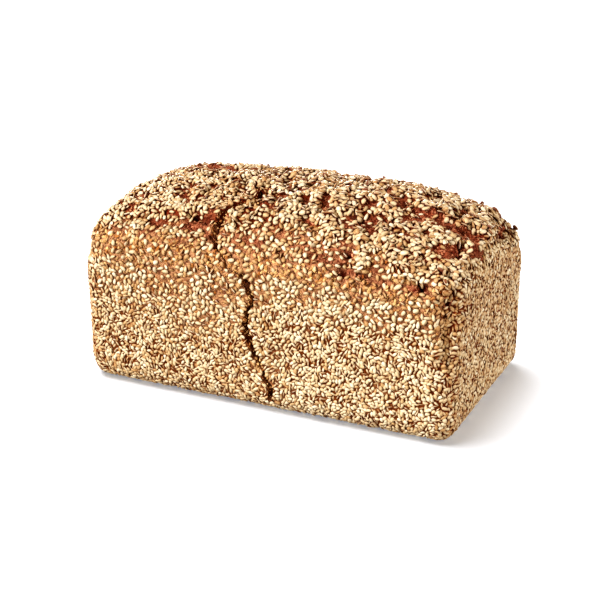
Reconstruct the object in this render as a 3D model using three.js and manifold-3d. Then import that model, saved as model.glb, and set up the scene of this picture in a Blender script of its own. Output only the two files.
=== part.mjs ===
// A tin-baked spelt loaf with a domed, torn top, coated all over with sesame seeds.
// Millimetres, +Z up. The origin is the middle of the flat underside, +X runs along the loaf
// and -Y is the long side that split in the oven.

import * as THREE from 'three';
import { mergeVertices } from 'three/addons/utils/BufferGeometryUtils.js';
import Module from 'manifold-3d';

// The bare crust: a rounded box up to the tin's rim, with a dome on it
const LENGTH = 199.2;
const WIDTH = 106.9;
const RIM_HEIGHT = 73.8;
const DOME_RISE = 26.1;
const CORNER_RADIUS = 9;
const BASE_RADIUS = 11.5;
const BASE_TRIM = 0.4;
// The dough didn't fill the tin's corners, so their radius grows over the last stretch to the rim
const RIM_CORNER_RADIUS = 17.5;
const CORNER_TUCK = 16;
// The share by which the tin narrows from its rim to its base
const TIN_TAPER = 0.01;
// How squarely the dome falls away towards the ends and towards the long sides
const DOME_END_POWER = 3.15;
const DOME_SIDE_POWER = 1.63;

// Unevenness of the baked crust, growing from the wall to the dome over a band at the rim
const WALL_LUMPS = 0.4;
const DOME_LUMPS = 1.3;
const RIM_BAND = [-5, 12];

// The lid: the top crust that lifted as the loaf rose, proud of the torn shoulder below it.
// Its edge is given as [x, y] on the dome, along the front and along the back.
const LID_LIFT = 1.8;
const LID_EDGE_WIDTH = 4;
const LID_END_GAP = 4;
const LID_FRONT_EDGE = [[-92, -46], [-76, -40], [-40, -38], [0, -40], [21, -34.5], [43, -45], [82, -51]];
const LID_BACK_EDGE = [[-90, 49], [-52, 45], [-14, 47], [20, 43], [58, 48], [90, 47]];

// Bare valleys in the lid and tears along the shoulder, as [x, y] on the dome
const GROOVES_ON_DOME = [
  { route: [[18, 16], [36, 12.5], [56, -4]], reach: 4.5, depth: 2.4 },
  { route: [[35, -23], [53, -20], [70, -8], [90, -4]], reach: 5, depth: 2.6 },
  { route: [[-62, -43], [-40, -43.5], [-29, -46.5]], reach: 5, depth: 2.8 },
  { route: [[-10, -46], [12, -46], [34, -43]], reach: 4.5, depth: 1.8 },
  { route: [[44, -51], [62, -52], [84, -52]], reach: 3.5, depth: 1.6 },
  { route: [[95, 25], [93, 37]], reach: 5, depth: 3.2 },
  { route: [[-70, 14], [-46, 8], [-30, 15]], reach: 5, depth: 1.8 },
];
// The crease down the front corner where the dough left the tin's corner empty, as [x, z]
const GROOVE_ON_WALL = { route: [[92, 74], [94.5, 58], [95.5, 40]], reach: 3, depth: 1.4 };

// The oven crack: over the dome as [x, y], then down the front wall as [x, z]
const CRACK_ON_DOME = [
  [-20, -10], [-13.7, -18], [-18, -26], [-27.5, -35], [-28.5, -43], [-27, -49.5], [-22, -52.8],
];
const CRACK_ON_WALL = [
  [-15, 73], [-8.5, 69.5], [-4, 59.5], [-8, 45.5], [-4, 32], [1.6, 21], [5.2, 10.5], [7, 4],
];
const CRACK_WIDTH = 4.2;
const CRACK_DEPTH = 6;
const CRACK_END_SHARE = 0.25;
const CRACK_CLEARANCE = 1.5;

// Facets along the length, across the width and up the wall, closer together near the edges
const FACETS = { length: 36, width: 18, height: 7 };
const EDGE_CROWDING = 0.5;

// The largest sesame seeds, fused half sunk into the crust in staggered, uneven rows
const SEED_LENGTH = 3.9;
const SEED_WIDTH = 2.4;
const SEED_HEIGHT = 0.75;
const SEED_ROOT = 0.8;
const SEED_FLAT_TOP = 0.5;
const SEED_TAPER = 0.3;
const SEED_SIDES = 5;
const WALL_ROWS = { rows: 4, across: 33, margin: 0.07 };
const DOME_ROWS = { rows: 6, across: 12, margin: 0.04 };
const ROW_UNEVENNESS = 0.45;
const DRAW_SEED = 20;

const CRUST_COLOUR = 0xc8a478;

const HALF_LENGTH = LENGTH / 2;
const HALF_WIDTH = WIDTH / 2;
const RIM_Z = RIM_HEIGHT - BASE_TRIM;
const SPINE_Z = 0.6 * RIM_HEIGHT;

const wasm = await Module();
wasm.setup();

// Height of the unlifted dome over a point of the plan
function domeHeight(x, y) {
  const end = 1 - Math.abs(x / HALF_LENGTH) ** DOME_END_POWER;
  const side = 1 - Math.abs(y / HALF_WIDTH) ** DOME_SIDE_POWER;
  return RIM_Z + DOME_RISE * Math.sqrt(Math.max(0, end) * Math.max(0, side));
}

const domePoint = ([x, y]) => new THREE.Vector3(x, y, domeHeight(x, y));

// A point of the front wall, round the base edge too
function wallPoint([x, z]) {
  const below = Math.max(0, BASE_RADIUS - z);
  const inset = BASE_RADIUS - Math.sqrt(BASE_RADIUS ** 2 - below ** 2);
  return new THREE.Vector3(x, inset - HALF_WIDTH, z);
}

// The value at x of a line through [x, y] points in order of x
function alongLine(points, x) {
  const last = points.length - 1;
  const found = points.findIndex((point) => point[0] >= x);
  const next = found < 0 ? last : Math.max(1, found);
  const [x0, y0] = points[next - 1];
  const [x1, y1] = points[next];
  return THREE.MathUtils.lerp(y0, y1, THREE.MathUtils.clamp((x - x0) / (x1 - x0), 0, 1));
}

function distanceToRoute(point, route) {
  const nearest = new THREE.Vector3();
  let least = Infinity;
  for (let i = 1; i < route.length; i += 1) {
    new THREE.Line3(route[i - 1], route[i]).closestPointToPoint(point, true, nearest);
    least = Math.min(least, nearest.distanceTo(point));
  }
  return least;
}

const crackRoute = [...CRACK_ON_DOME.map(domePoint), ...CRACK_ON_WALL.map(wallPoint)];
const grooves = [
  ...GROOVES_ON_DOME.map((groove) => ({ ...groove, route: groove.route.map(domePoint) })),
  { ...GROOVE_ON_WALL, route: GROOVE_ON_WALL.route.map(wallPoint) },
];

// The nearest point of the loaf's middle line, from which the crust swells outwards
function spinePoint(point) {
  const reach = HALF_LENGTH - SPINE_Z;
  return new THREE.Vector3(THREE.MathUtils.clamp(point.x, -reach, reach), 0, SPINE_Z);
}

// How far the crust stands out of the plain form: lumps and the lid, less the grooves
function relief(point) {
  const { x, y, z } = point;
  const { lerp, smoothstep } = THREE.MathUtils;
  const long = Math.sin(x / 15 + 1.4 * Math.sin(y / 19 + z / 27));
  const short = Math.sin(x / 8.3 - 0.6) * Math.sin((y - z) / 9.1 + 1.1);
  const lumps = lerp(WALL_LUMPS, DOME_LUMPS, smoothstep(z - RIM_Z, ...RIM_BAND));
  let out = lumps * (0.6 * long + 0.4 * short);
  if (z > RIM_Z) {
    const front = y - alongLine(LID_FRONT_EDGE, x);
    const back = alongLine(LID_BACK_EDGE, x) - y;
    const end = HALF_LENGTH - Math.abs(x) - LID_END_GAP;
    out += LID_LIFT * smoothstep(Math.min(front, back, end), 0, LID_EDGE_WIDTH);
  }
  for (const { route, reach, depth } of grooves) {
    out -= depth * Math.exp(-((distanceToRoute(point, route) / reach) ** 2));
  }
  return out * smoothstep(z, 0, BASE_RADIUS);
}

// The crust at a point of the skin of the cube from -1 to 1: u along, v across, w up
function crust(u, v, w) {
  const { lerp, smoothstep } = THREE.MathUtils;
  const onDome = w === 1;
  const level = ((w + 1) / 2) * RIM_HEIGHT;
  const tuck = smoothstep(level, RIM_HEIGHT - CORNER_TUCK, RIM_HEIGHT);
  const radius = lerp(CORNER_RADIUS, RIM_CORNER_RADIUS, tuck);
  const narrowing = 1 - TIN_TAPER * (1 - level / RIM_HEIGHT);
  const outward = [
    Math.max(0, Math.abs(u) * HALF_LENGTH - HALF_LENGTH + radius) / radius,
    Math.max(0, Math.abs(v) * HALF_WIDTH - HALF_WIDTH + radius) / radius,
    Math.max(0, 1 - level / BASE_RADIUS),
  ];
  const round = Math.max(...outward) / (Math.hypot(...outward) || 1);
  const [dx, dy, dz] = outward.map((amount) => amount * round);
  const inX = Math.min(Math.abs(u) * HALF_LENGTH, HALF_LENGTH - radius);
  const inY = Math.min(Math.abs(v) * HALF_WIDTH, HALF_WIDTH - radius);
  const point = new THREE.Vector3(
    Math.sign(u) * (inX + dx * radius) * narrowing,
    Math.sign(v) * (inY + dy * radius) * narrowing,
    Math.max(level, BASE_RADIUS) - dz * BASE_RADIUS - BASE_TRIM,
  );
  if (onDome) point.z = domeHeight(u * HALF_LENGTH, v * HALF_WIDTH);
  const away = point.clone().sub(spinePoint(point)).normalize();
  return point.addScaledVector(away, relief(point));
}

// Closed solid of a geometry whose shared corners are merged
function solid(geometry) {
  geometry.deleteAttribute('normal');
  geometry.deleteAttribute('uv');
  const merged = mergeVertices(geometry);
  const vertProperties = new Float32Array(merged.attributes.position.array);
  const triVerts = new Uint32Array(merged.index.array);
  return new wasm.Manifold(new wasm.Mesh({ numProp: 3, vertProperties, triVerts }));
}

// A gridded cube whose corners are carried to new places
function bentCube(lengthSteps, widthSteps, heightSteps, place) {
  const geometry = new THREE.BoxGeometry(2, 2, 2, lengthSteps, widthSteps, heightSteps);
  const corners = geometry.attributes.position;
  for (let i = 0; i < corners.count; i += 1) {
    const { x, y, z } = place(corners.getX(i), corners.getY(i), corners.getZ(i));
    corners.setXYZ(i, x, y, z);
  }
  return solid(geometry);
}

const crowd = (t) => THREE.MathUtils.lerp(t, Math.sin((t * Math.PI) / 2), EDGE_CROWDING);

function crustSolid() {
  const { length, width, height } = FACETS;
  const loaf = bentCube(length, width, height, (u, v, w) => crust(crowd(u), crowd(v), crowd(w)));
  const ground = new THREE.BoxGeometry(2 * LENGTH, 2 * WIDTH, RIM_HEIGHT);
  return loaf.subtract(solid(ground.translate(0, 0, -RIM_HEIGHT / 2)));
}

// A wedge along the crack: wide outside the crust, narrow inside, dying out at both ends
function crackSolid() {
  const last = crackRoute.length - 1;
  return bentCube(last, 1, 1, (u, v, w) => {
    const step = Math.round(((u + 1) / 2) * last);
    const here = crackRoute[step];
    const before = crackRoute[Math.max(0, step - 1)];
    const after = crackRoute[Math.min(last, step + 1)];
    const along = after.clone().sub(before).normalize();
    const out = here.clone().sub(spinePoint(here)).normalize();
    const across = out.clone().cross(along).normalize();
    const share = step === 0 || step === last ? CRACK_END_SHARE : 1;
    const half = (w > 0 ? 0.5 : 0.15) * CRACK_WIDTH * share;
    const height = w > 0 ? CRACK_CLEARANCE + LID_LIFT : -CRACK_DEPTH * share;
    return here.clone().addScaledVector(across, v * half).addScaledVector(out, height);
  });
}

// Seeds are flat drops: blunt at one end, narrowing towards the other, with a root in the crust
function seedGeometry() {
  const geometry = new THREE.CylinderGeometry(SEED_FLAT_TOP, 1, 1, SEED_SIDES, 1);
  geometry.rotateX(Math.PI / 2);
  geometry.translate(0, 0, 0.5);
  const corners = geometry.attributes.position;
  for (let i = 0; i < corners.count; i += 1) {
    const x = corners.getX(i);
    const y = corners.getY(i) * (1 - SEED_TAPER * x);
    const z = corners.getZ(i) * (SEED_HEIGHT + SEED_ROOT) - SEED_ROOT;
    corners.setXYZ(i, (x * SEED_LENGTH) / 2, (y * SEED_WIDTH) / 2, z);
  }
  return geometry;
}

// Places in the unit square in rows, each row half a step on from the last, unevenly drawn
function staggered({ rows, across, margin }) {
  const uneven = () => ROW_UNEVENNESS * THREE.MathUtils.seededRandom();
  const places = [];
  for (let row = 0; row < rows; row += 1) {
    for (let column = 0; column < across; column += 1) {
      const along = (column + (row % 2) / 2 + uneven()) / across;
      const rise = (row + 0.5 + uneven() - ROW_UNEVENNESS / 2) / rows;
      places.push([along % 1, THREE.MathUtils.lerp(margin, 1 - margin, rise)]);
    }
  }
  return places;
}

// Cube places round the walls, each with the two cube directions that lie in its wall
function wallPlaces() {
  const sides = [
    { start: [-1, -1], along: [1, 0], length: LENGTH },
    { start: [1, -1], along: [0, 1], length: WIDTH },
    { start: [1, 1], along: [-1, 0], length: LENGTH },
    { start: [-1, 1], along: [0, -1], length: WIDTH },
  ];
  return staggered(WALL_ROWS).map(([round, rise]) => {
    let distance = round * 2 * (LENGTH + WIDTH);
    const side = sides.find(({ length }) => {
      if (distance < length) return true;
      distance -= length;
      return false;
    });
    const share = (2 * distance) / side.length;
    const place = side.start.map((start, axis) => start + side.along[axis] * share);
    return { place: [...place, 2 * rise - 1], inFace: [[...side.along, 0], [0, 0, 1]] };
  });
}

function domePlaces() {
  return staggered(DOME_ROWS).map(([along, rise]) => {
    const u = (1 - DOME_ROWS.margin) * (2 * along - 1);
    return { place: [u, 2 * rise - 1, 1], inFace: [[1, 0, 0], [0, 1, 0]] };
  });
}

// Seeds lying on the crust, turned this way and that, none across the crack
function seedSolids() {
  THREE.MathUtils.seededRandom(DRAW_SEED);
  const small = 0.01;
  const seeds = [];
  for (const { place, inFace } of [...wallPlaces(), ...domePlaces()]) {
    const turn = Math.PI * 2 * THREE.MathUtils.seededRandom();
    const here = crust(...place);
    const [first, second] = inFace.map((way) => {
      const beside = place.map((value, axis) => value - small * way[axis]);
      return here.clone().sub(crust(...beside)).normalize();
    });
    const out = first.clone().cross(second).normalize();
    if (out.dot(here.clone().sub(spinePoint(here))) < 0) out.negate();
    if (distanceToRoute(here, crackRoute) < SEED_LENGTH) continue;
    const along = first.applyAxisAngle(out, turn);
    const across = out.clone().cross(along);
    const pose = new THREE.Matrix4().makeBasis(along, across, out).setPosition(here);
    seeds.push(solid(seedGeometry().applyMatrix4(pose)));
  }
  return seeds;
}

function loafMesh() {
  let loaf = crustSolid().subtract(crackSolid());
  for (const seed of seedSolids()) loaf = loaf.add(seed);
  const { vertProperties, triVerts } = loaf.getMesh();
  const geometry = new THREE.BufferGeometry();
  geometry.setAttribute('position', new THREE.BufferAttribute(vertProperties, 3));
  geometry.setIndex(new THREE.BufferAttribute(triVerts, 1));
  geometry.computeVertexNormals();
  const material = new THREE.MeshStandardMaterial({
    color: CRUST_COLOUR,
    roughness: 0.85,
    metalness: 0,
    flatShading: true,
  });
  const mesh = new THREE.Mesh(geometry, material);
  mesh.name = 'loaf';
  return mesh;
}

const bread = new THREE.Group();
bread.add(loafMesh());

export default bread;
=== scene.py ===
"""Dresses a tin-baked spelt loaf: a torn golden crust under an all-over coat of sesame seeds.

The loaf's form is worked out in millimetres, as a baker would measure it, and becomes metres
when a mesh is made. +X runs along the loaf, -Y is the cracked long side and +Z is up.
"""

import logging
import math
from collections.abc import Sequence
from dataclasses import dataclass, field
from enum import Enum

import bmesh
import bpy
import numpy as np
from mathutils import Matrix, Vector, kdtree, noise


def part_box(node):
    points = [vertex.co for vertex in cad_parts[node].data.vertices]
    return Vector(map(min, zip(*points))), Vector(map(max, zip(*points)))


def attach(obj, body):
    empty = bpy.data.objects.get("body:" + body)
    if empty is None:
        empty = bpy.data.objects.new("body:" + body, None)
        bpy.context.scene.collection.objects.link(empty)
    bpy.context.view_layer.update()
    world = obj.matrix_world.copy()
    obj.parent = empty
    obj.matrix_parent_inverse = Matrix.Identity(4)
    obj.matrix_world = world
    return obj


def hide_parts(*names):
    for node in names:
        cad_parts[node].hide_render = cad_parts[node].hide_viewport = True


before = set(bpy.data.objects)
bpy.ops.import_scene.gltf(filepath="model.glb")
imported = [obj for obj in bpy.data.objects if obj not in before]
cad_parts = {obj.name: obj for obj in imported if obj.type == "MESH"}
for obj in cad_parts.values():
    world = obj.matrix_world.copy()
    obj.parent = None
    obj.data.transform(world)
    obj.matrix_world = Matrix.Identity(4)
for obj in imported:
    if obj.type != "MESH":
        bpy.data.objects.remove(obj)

log = logging.getLogger("loaf")

MM = 0.001
NODE = "loaf"
BODY = "root"
DRAW_SEED = 20
# How far the solid's fused seeds stand out of its crust on two sides together, in millimetres
SEED_STAND = 2.1
# How near to a face of the gridded cube still counts as on it
TOUCH = 1e-6
BAKE_MAP = "OFBake"

Colour = tuple[float, float, float, float]
Place = tuple[float, float]
Route = tuple[Place, ...]
Band = tuple[float, float]
Points = np.ndarray


def srgb(red: int, green: int, blue: int) -> Colour:
    """Turn a colour as a screen shows it, 0 to 255, into linear light.

    Args:
        red: The screen's red.
        green: The screen's green.
        blue: The screen's blue.

    Returns:
        Linear red, green, blue and a full alpha.
    """
    screen = (channel / 255 for channel in (red, green, blue))
    linear = [c / 12.92 if c <= 0.04045 else ((c + 0.055) / 1.055) ** 2.4 for c in screen]
    return (linear[0], linear[1], linear[2], 1.0)


def smooth(values: np.ndarray, low: float, high: float) -> np.ndarray:
    """Ease values from 0 at low to 1 at high.

    Args:
        values: Numbers of any shape.
        low: Where the ease starts.
        high: Where it ends.

    Returns:
        The eased share of each value.
    """
    share = np.clip((values - low) / (high - low), 0.0, 1.0)
    return share * share * (3 - 2 * share)


class Cloud(Enum):
    """Patterns of cloudy noise on the crust.

    Each has the size of its largest clouds in millimetres, how many finer layers are added, each
    half as large, and a shift that sets it apart from others of its size.
    """

    ROUGH = (5.0, 4, 0.0)
    FINE = (2.4, 2, 20.0)
    CRACK_EDGE = (2.6, 3, 40.0)
    RAGGED = (7.0, 3, 60.0)
    BAKING = (30.0, 2, 90.0)
    FRAYED = (3.6, 3, 120.0)
    DRIFT = (16.0, 3, 200.0)
    BARE_EDGE = (6.0, 2, 200.0)
    CLUMPS = (7.5, 3, 300.0)
    GATHERED = (12.0, 2, 400.0)
    STRAYS = (5.0, 2, 500.0)
    BREAKS = (10.0, 2, 700.0)

    def at(self, points: Points) -> np.ndarray:
        """The noise at points in millimetres, one to a row, mostly from -1 to 1."""
        wave, octaves, shift = self.value
        return np.array([noise.fractal(p, 1.0, 2.0, octaves) for p in map(Vector, (points + shift) / wave)])


def route_distance(points: Points, route: Points) -> np.ndarray:
    """How far points lie from a line of straight stretches.

    Args:
        points: Places, one to a row.
        route: The line's corners, one to a row.

    Returns:
        The least distance for each point.
    """
    least = np.full(len(points), np.inf)
    for start, end in zip(route[:-1], route[1:]):
        stretch = end - start
        share = np.clip((points - start) @ stretch / (stretch @ stretch), 0.0, 1.0)
        gap = points - start - share[:, None] * stretch
        least = np.minimum(least, np.linalg.norm(gap, axis=1))
    return least


def bell(distance: np.ndarray, reach: float | np.ndarray) -> np.ndarray:
    """Fall from 1 where the distance is 0 to almost 0 at twice the reach."""
    return np.exp(-((distance / reach) ** 2))


def unit(vectors: Points) -> Points:
    """Give vectors, one to a row, a length of 1."""
    return vectors / np.linalg.norm(vectors, axis=1)[:, None]


def read(items: bpy.types.bpy_prop_collection, name: str, kind: type, width: int = 1) -> np.ndarray:
    """Read one property of a mesh's vertices, corners or faces.

    Args:
        items: The vertices, corners or faces.
        name: The property's name.
        kind: The type of its numbers.
        width: How many numbers each item has.

    Returns:
        A number, or a row of numbers, for each item.
    """
    values = np.empty(len(items) * width, kind)
    items.foreach_get(name, values)
    return values if width == 1 else values.reshape(-1, width)


def store(mesh: bpy.types.Mesh, numbers: dict[str, np.ndarray]) -> None:
    """Keep numbers on a mesh's vertices, for its material and its seeds.

    Args:
        mesh: The mesh.
        numbers: One value for each vertex, by name.
    """
    for name, values in numbers.items():
        attribute = mesh.attributes.new(name, "FLOAT", "POINT")
        attribute.data.foreach_set("value", values.astype(np.float32))


def in_scene(name: str, data: bpy.types.ID) -> bpy.types.Object:
    """Put a mesh, a light or a camera into the scene.

    Args:
        name: The object's name.
        data: What it shows.

    Returns:
        The object.
    """
    made = bpy.data.objects.new(name, data)
    bpy.context.scene.collection.objects.link(made)
    return made


class Signal:
    """A shader socket that can stand in sums and products."""

    def __init__(self, board: "Board", socket: bpy.types.NodeSocket | None) -> None:
        """Keep the socket and the board it is on."""
        self.board = board
        self.socket = socket

    def _math(self, operation: str, first: object, second: object) -> "Signal":
        """Add a Math node for one operation on two values or signals."""
        settings = {"operation": operation}
        return self.board.node("ShaderNodeMath", settings, {0: first, 1: second})

    def __add__(self, other: object) -> "Signal":
        """This plus other."""
        return self._math("ADD", self, other)

    def __radd__(self, other: object) -> "Signal":
        """Other plus this."""
        return self._math("ADD", other, self)

    def __sub__(self, other: object) -> "Signal":
        """This less other."""
        return self._math("SUBTRACT", self, other)

    def __rsub__(self, other: object) -> "Signal":
        """Other less this."""
        return self._math("SUBTRACT", other, self)

    def __mul__(self, other: object) -> "Signal":
        """This times other."""
        return self._math("MULTIPLY", self, other)

    def __rmul__(self, other: object) -> "Signal":
        """Other times this."""
        return self._math("MULTIPLY", other, self)

    def ease(self, low: float, high: float) -> "Signal":
        """Ease this from 0 at low to 1 at high, with a Map Range node."""
        settings = {"interpolation_type": "SMOOTHSTEP"}
        return self.board.node(
            "ShaderNodeMapRange", settings, {"Value": self, "From Min": low, "From Max": high}
        )


class Board:
    """The node tree of one material."""

    def __init__(self, name: str) -> None:
        """Make the material with an empty tree.

        Args:
            name: The material's name.
        """
        self.material = bpy.data.materials.new(name)
        self.material.use_nodes = True
        self.tree = self.material.node_tree
        self.tree.nodes.clear()

    @staticmethod
    def _pick(sockets: Sequence[bpy.types.NodeSocket], key: str | int) -> bpy.types.NodeSocket:
        """Find a socket by its number, or the one in use by its name.

        Args:
            sockets: A node's inputs or outputs.
            key: The socket's number or name.

        Returns:
            The socket.
        """
        if isinstance(key, int):
            return sockets[key]
        return next(s for s in sockets if s.name == key and s.enabled)

    def node(
        self,
        kind: str,
        settings: dict[str, object] | None = None,
        sockets: dict[str | int, object] | None = None,
        output: str | int = 0,
    ) -> Signal:
        """Add a node.

        Args:
            kind: Blender's name for the node's type.
            settings: Its settings, and a ramp's stops as (place, colour) pairs.
            sockets: Values or signals for its inputs, by name or number.
            output: The output that the signal reads.

        Returns:
            The node's output as a signal, empty for a node with none.
        """
        made = self.tree.nodes.new(kind)
        for name, value in (settings or {}).items():
            if name == "stops":
                self._set_stops(made.color_ramp, value)
            else:
                setattr(made, name, value)
        for key, value in (sockets or {}).items():
            target = self._pick(made.inputs, key)
            if isinstance(value, Signal):
                self.tree.links.new(value.socket, target)
            else:
                target.default_value = value
        return Signal(self, self._pick(made.outputs, output) if made.outputs else None)

    @staticmethod
    def _set_stops(ramp: bpy.types.ColorRamp, stops: Sequence[tuple[float, Colour]]) -> None:
        """Give a colour ramp its stops, from left to right.

        Args:
            ramp: The ramp.
            stops: Places from 0 to 1 with their colours.
        """
        while len(ramp.elements) < len(stops):
            ramp.elements.new(1.0)
        for element, (place, colour) in zip(ramp.elements, stops):
            element.position = place
            element.color = colour

    def blend(self, factor: object, first: object, second: object) -> Signal:
        """Mix two colours.

        Args:
            factor: The share of the second colour.
            first: A colour or signal.
            second: A colour or signal.

        Returns:
            The mixed colour.
        """
        sockets = {"Factor": factor, "A": first, "B": second}
        return self.node("ShaderNodeMix", {"data_type": "RGBA"}, sockets, "Result")

    def attribute(self, name: str) -> Signal:
        """Read one of the mesh's own numbers."""
        return self.node("ShaderNodeAttribute", {"attribute_name": name}, output="Fac")

    def cloud(self, scale: float, detail: float, rough: float = 0.6) -> Signal:
        """Noise on the object's own coordinates.

        Args:
            scale: Clouds to a metre.
            detail: How many finer layers are added.
            rough: How strong the finer layers are.

        Returns:
            The noise, about 0.5 on average.
        """
        place = self.node("ShaderNodeTexCoord", output="Object")
        sockets = {"Vector": place, "Scale": scale, "Detail": detail, "Roughness": rough}
        return self.node("ShaderNodeTexNoise", None, sockets, "Fac")

    def bumped(self, height: Signal, strength: float, relief: float) -> Signal:
        """Bend the normals by a height whose relief is in millimetres."""
        sockets = {"Strength": strength, "Distance": relief * MM, "Height": height}
        return self.node("ShaderNodeBump", None, sockets)

    def finish(self, colour: object, roughness: object, others: dict[str, object]) -> bpy.types.Material:
        """Close the tree with a Principled shader.

        Args:
            colour: The base colour, or a signal.
            roughness: A number or a signal.
            others: The shader's other inputs, by name.

        Returns:
            The finished material.
        """
        sockets = {"Base Color": colour, "Roughness": roughness, **others}
        shader = self.node("ShaderNodeBsdfPrincipled", None, sockets)
        self.node("ShaderNodeOutputMaterial", {"target": "ALL"}, {"Surface": shader})
        return self.material


@dataclass(frozen=True)
class CrustFinish:
    """Baked crust: golden where the tin held it, red-brown under the lid's seeds and in tears, with painted
    shade between crowded seeds and in its crevices, tears, pits and crack.

    Blotches, crumbs and grains are counted to a metre, and the relief is in millimetres.
    """

    pale: Colour = srgb(230, 178, 134)
    # Dark, as painted shade in the gaps between the crowded seeds of the walls.
    golden: Colour = srgb(134, 72, 22)
    toasted: Colour = srgb(148, 62, 30)
    torn: Colour = srgb(152, 76, 52)
    torn_light: Colour = srgb(200, 128, 92)
    # The colour of the painted shade in crevices, tears, pits and the crack.
    painted_shade: Colour = srgb(90, 28, 6)
    blotches: float = 95.0
    crumbs: float = 430.0
    grains: float = 1000.0
    relief: float = 4.0
    gloss: float = 0.08

    def material(self) -> bpy.types.Material:
        """Make the crust's material from its mesh's own numbers and clouds of noise.

        Returns:
            The material.
        """
        board = Board("baked_crust")
        blotches = board.cloud(self.blotches, 4.0)
        crumb = board.cloud(self.crumbs, 4.0, 0.62)
        grain = board.cloud(self.grains, 3.0, 0.7)
        toast, torn, hollow = (board.attribute(name) for name in ("toast", "torn", "hollow"))
        # Crust among crowded seeds sits near the golden stop, darkened there as painted shade between them.
        stops = [(0.1, self.pale), (0.45, self.golden), (0.9, self.toasted)]
        tone = toast + (blotches - 0.5) * 0.4 + (grain - 0.5) * 0.25
        baked = board.node("ShaderNodeValToRGB", {"stops": stops}, {"Fac": tone}, "Color")
        rubble = crumb * 0.6 + grain * 0.4
        ripped = board.blend(rubble.ease(0.38, 0.62), self.torn, self.torn_light)
        crust = board.blend(torn * (0.55 + 0.45 * blotches.ease(0.3, 0.6)), baked, ripped)
        # Painted shade in the crust's crevices, where the bump's height is lowest.
        crevice_shade = (0.5 - rubble).ease(0.0, 0.07) * 0.75
        crevice_shaded = board.blend(crevice_shade * (1 - 0.25 * torn), crust, self.painted_shade)
        # Painted shade in tears, pits and the crack, where the mesh's hollow numbers are high.
        shaded = board.blend(hollow, crevice_shaded, self.painted_shade)
        bump = board.bumped(rubble + blotches * 0.4, 1.0, self.relief)
        others = {"Normal": bump, "Specular IOR Level": self.gloss}
        return board.finish(shaded, 0.72 + 0.2 * grain, others)


@dataclass(frozen=True)
class CrumbFinish:
    """Crumbs of crust: golden on the walls, red-brown in tears, each in its own shade."""

    light: Colour = srgb(246, 212, 152)
    brown: Colour = srgb(176, 112, 54)
    torn_light: Colour = srgb(219, 157, 120)
    torn_dark: Colour = srgb(118, 48, 30)
    grains: float = 1400.0
    relief: float = 1.0
    gloss: float = 0.1

    def material(self) -> bpy.types.Material:
        """Make the crumbs' material from their mesh's own numbers.

        Returns:
            The material.
        """
        board = Board("crust_crumbs")
        tint = board.attribute("tint")
        grain = board.cloud(self.grains, 2.0)
        golden = board.blend(tint, self.brown, self.light)
        ripped = board.blend(tint, self.torn_dark, self.torn_light)
        coloured = board.blend(board.attribute("torn"), golden, ripped)
        others = {"Normal": board.bumped(grain, 0.6, self.relief), "Specular IOR Level": self.gloss}
        return board.finish(coloured, 0.7 + 0.2 * grain, others)


@dataclass(frozen=True)
class SesameFinish:
    """Hulled sesame: a pale body, a deeper tone drawn seed by seed, browner tips, and painted shade down the
    sides.
    """

    name: str
    body: Colour
    deep: Colour
    tip: Colour
    # Painted shade on each seed's sides and underside, a dark outline round it.
    edge: Colour = srgb(120, 58, 8)
    # A deeper, redder painted shade on the sides of loose seeds, partly their toasting.
    toasted_side_shade: Colour = srgb(112, 38, 6)
    roughness: float = 0.4
    mottles: float = 1500.0
    relief: float = 0.15
    gloss: float = 0.25

    def material(self) -> bpy.types.Material:
        """Make the material of one kind of seed.

        Returns:
            The material.
        """
        board = Board(f"sesame_{self.name}")
        tint, along, side = (board.attribute(name) for name in ("tint", "along", "side"))
        mottle = board.cloud(self.mottles, 2.0)
        skin = board.blend(tint, self.body, self.deep)
        mottled = board.blend((mottle - 0.42) * 0.8, skin, self.deep)
        # Painted shade: the sides darken towards the edge colour, more deeply on loose seeds.
        edge = board.blend(board.attribute("baked"), self.edge, self.toasted_side_shade)
        side_shaded = board.blend(side * 0.9, mottled, edge)
        coloured = board.blend(along.ease(0.55, 1.0) * 0.6, side_shaded, self.tip)
        others = {"Normal": board.bumped(mottle, 0.25, self.relief), "Specular IOR Level": self.gloss}
        return board.finish(coloured, self.roughness - 0.08 + 0.2 * mottle, others)


class SeedKind(Enum):
    """The kinds of seed on the loaf, from untoasted to well toasted."""

    PALE = SesameFinish("pale", srgb(244, 234, 207), srgb(237, 222, 188), srgb(210, 181, 130))
    CREAM = SesameFinish("cream", srgb(236, 222, 189), srgb(227, 207, 168), srgb(196, 160, 108))
    STRAW = SesameFinish("straw", srgb(232, 215, 180), srgb(222, 199, 158), srgb(188, 147, 96))
    GOLDEN = SesameFinish("golden", srgb(225, 203, 163), srgb(212, 183, 137), srgb(176, 128, 78))
    TOASTED = SesameFinish("toasted", srgb(211, 180, 133), srgb(194, 155, 106), srgb(152, 99, 56))


@dataclass(frozen=True)
class Groove:
    """A bare valley, tear or patch: its route, its sides' reach, its depth and how dark its painted shade is.
    """

    route: Route
    reach: float
    depth: float = 0.0
    shade: float = 0.9


@dataclass(frozen=True)
class Spot:
    """A small mound, or a pit where its height is below 0, with its middle and radius."""

    place: Place
    radius: float
    height: float


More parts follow.
